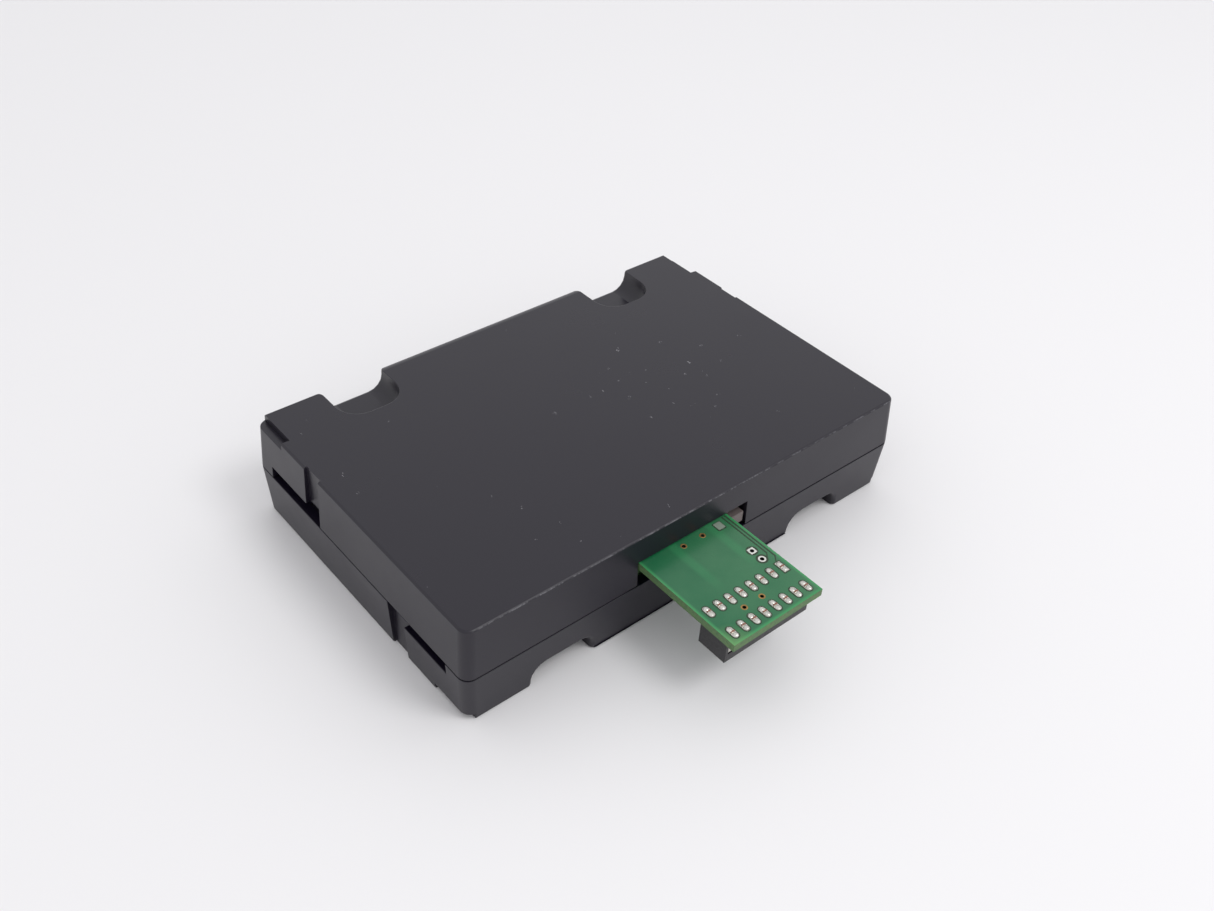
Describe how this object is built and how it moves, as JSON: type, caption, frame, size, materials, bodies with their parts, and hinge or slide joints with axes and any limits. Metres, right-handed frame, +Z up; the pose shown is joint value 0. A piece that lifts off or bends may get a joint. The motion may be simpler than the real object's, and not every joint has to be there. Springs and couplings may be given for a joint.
{
  "type": "usb microcontroller programmer",
  "caption": "Flat two-shell plastic case with finger grips, holding a board whose plug-in adapter tongue sticks out of the front and carries a downward-facing target socket.",
  "frame": {"origin": "centre of the lower shell's flat bottom face, under the middle of the case", "axes": "+X along the case's long side, +Z up from the bottom face, the adapter tongue points along -Y"},
  "size_m": [0.106, 0.0931, 0.022],
  "materials": {
    "case_moulding": "fine spark-eroded matt moulded ABS",
    "solder_mask": "satin green solder mask over copper on glass epoxy",
    "chip_epoxy": "matt moulded epoxy",
    "ferrite": "dull pressed ferrite",
    "nickel_plate": "bright nickel-plated sheet",
    "capacitor_aluminium": "bright drawn aluminium can",
    "fuse_coating": "dipped coating",
    "strip_nylon": "grey-brown glass-filled nylon",
    "socket_moulding": "black glass-filled thermoplastic",
    "tinned_contact": "tin-plated copper alloy strip with solder",
    "green_lens": "clear tinted epoxy",
    "amber_lens": "clear tinted epoxy"
  },
  "bodies": {
    "base": {"lower_shell": "case_moulding", "port_plate": "case_moulding", "main_board": "solder_mask", "adapter_board": "solder_mask", "usb_controller_chip": "chip_epoxy", "logic_array_chip": "chip_epoxy", "memory_chip": "chip_epoxy", "level_shifter_chip_1": "chip_epoxy", "level_shifter_chip_2": "chip_epoxy", "voltage_regulator": "chip_epoxy", "transient_suppressor": "chip_epoxy", "adapter_buffer_chip": "chip_epoxy", "adapter_rear_strip": "chip_epoxy", "power_inductor": "ferrite", "crystal_can": "nickel_plate", "usb_receptacle_can": "nickel_plate", "bulk_capacitor_1": "capacitor_aluminium", "bulk_capacitor_2": "capacitor_aluminium", "resettable_fuse": "fuse_coating", "adapter_socket_strip": "strip_nylon", "target_socket_body": "socket_moulding", "usb_receptacle_insert": "socket_moulding", "power_lamp": "green_lens", "busy_lamp": "amber_lens", "target_contact_1": "tinned_contact", "target_contact_2": "tinned_contact", "target_contact_3": "tinned_contact", "target_contact_4": "tinned_contact", "target_contact_5": "tinned_contact", "target_contact_6": "tinned_contact", "target_contact_7": "tinned_contact", "target_contact_8": "tinned_contact", "target_contact_9": "tinned_contact", "target_contact_10": "tinned_contact", "target_contact_11": "tinned_contact", "target_contact_12": "tinned_contact", "target_contact_13": "tinned_contact", "target_contact_14": "tinned_contact", "target_contact_15": "tinned_contact", "target_contact_16": "tinned_contact"},
    "cover": {"upper_shell": "case_moulding"}
  },
  "joints": [
    {"name": "cover_lift", "type": "slide", "parent": "base", "child": "cover", "axis": [0, 0, 1], "range_m": [0, 0.03]}
  ]
}
